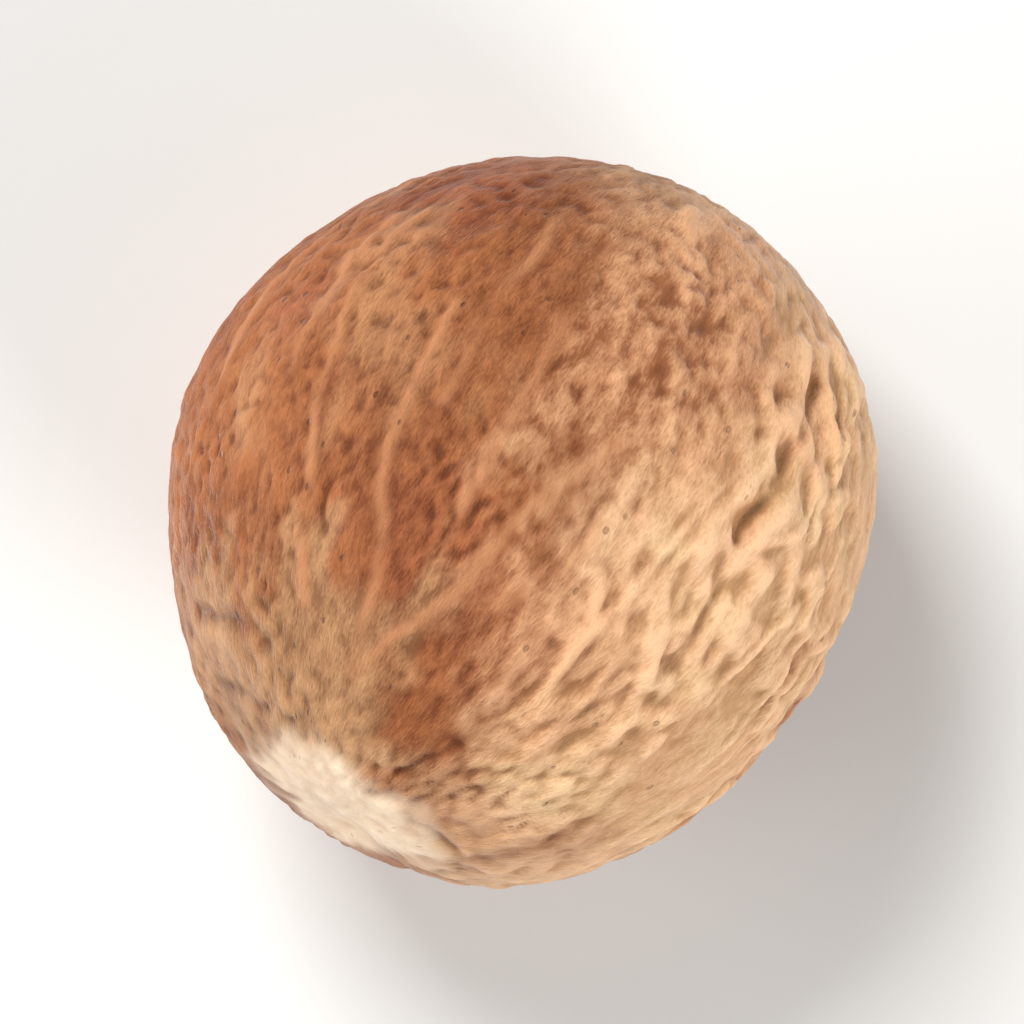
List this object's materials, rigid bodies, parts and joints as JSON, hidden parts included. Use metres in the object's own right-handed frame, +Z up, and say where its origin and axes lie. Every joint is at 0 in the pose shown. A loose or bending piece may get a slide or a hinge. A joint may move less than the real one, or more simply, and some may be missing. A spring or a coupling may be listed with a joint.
{
  "type": "whole nutmeg",
  "caption": "Whole dried nutmeg lying on its side: a wrinkled brown ovoid seed with a pale scar at its blunt end and a small dark eye at its tip.",
  "frame": {"origin": "under the middle of the seed's bounding box, on the surface that it rests on", "axes": "+Z up from the resting flat; +X along the seed from the blunt hilum end towards the tip, which lies a little lower; +Y across the seed towards its smoother flank"},
  "size_m": [0.025, 0.0232, 0.0225],
  "materials": {
    "seed_coat": "dry, matt, warm brown with cream wrinkles"
  },
  "bodies": {
    "root": {"nutmeg": "seed_coat"}
  },
  "joints": []
}
